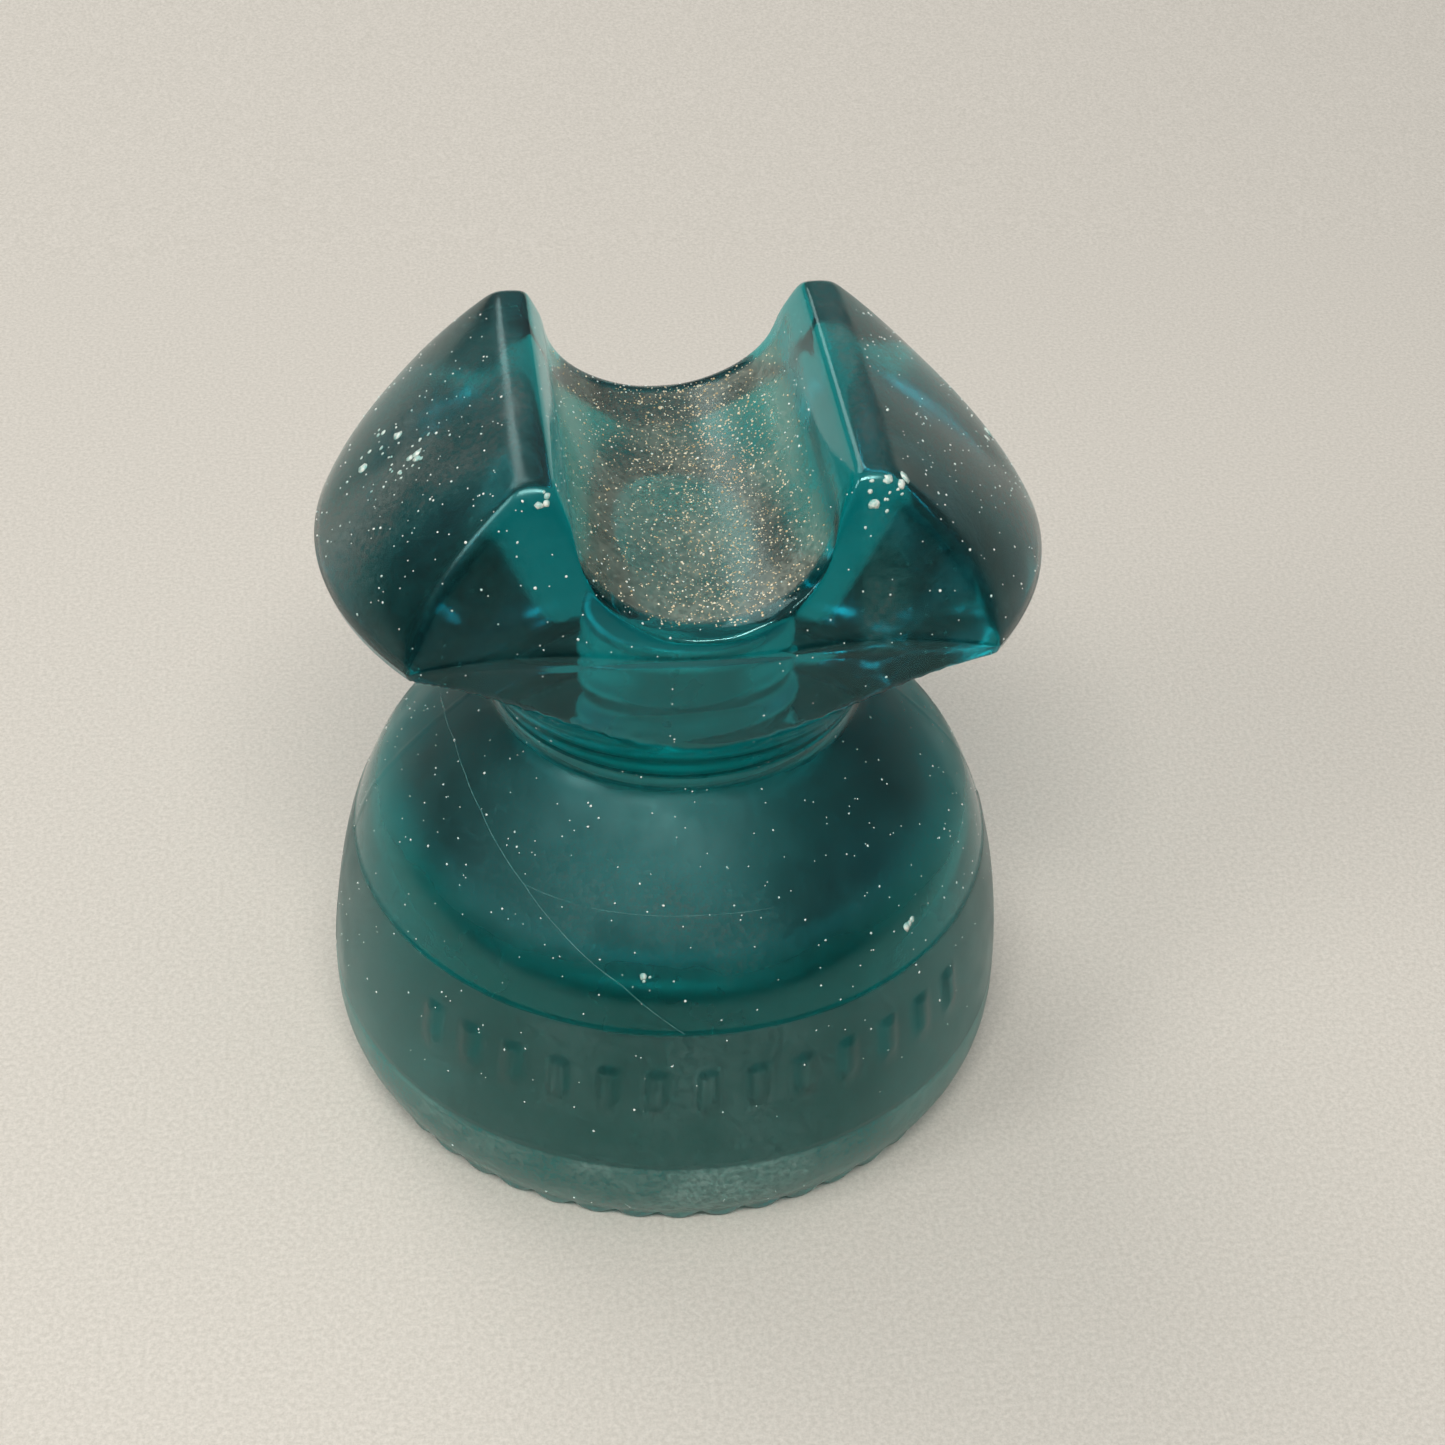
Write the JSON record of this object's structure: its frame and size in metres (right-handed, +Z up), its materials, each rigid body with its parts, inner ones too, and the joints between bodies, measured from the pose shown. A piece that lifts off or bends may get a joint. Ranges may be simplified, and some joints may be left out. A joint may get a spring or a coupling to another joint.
{
  "type": "glass insulator",
  "caption": "Pressed teal glass pin insulator with a bell skirt, drip points, tie-wire neck and a deep cable saddle between two ears.",
  "frame": {"origin": "middle of the ring of drip points that it stands on", "axes": "+Z up along the pin hole's axis, Y along the cable saddle, X across the two ears"},
  "size_m": [0.108, 0.108, 0.1207],
  "materials": {
    "teal_glass": "clear teal pressed glass, dull and dusty outside, glossy in the sheltered faces"
  },
  "bodies": {
    "root": {"glass_body": "teal_glass"}
  },
  "joints": []
}
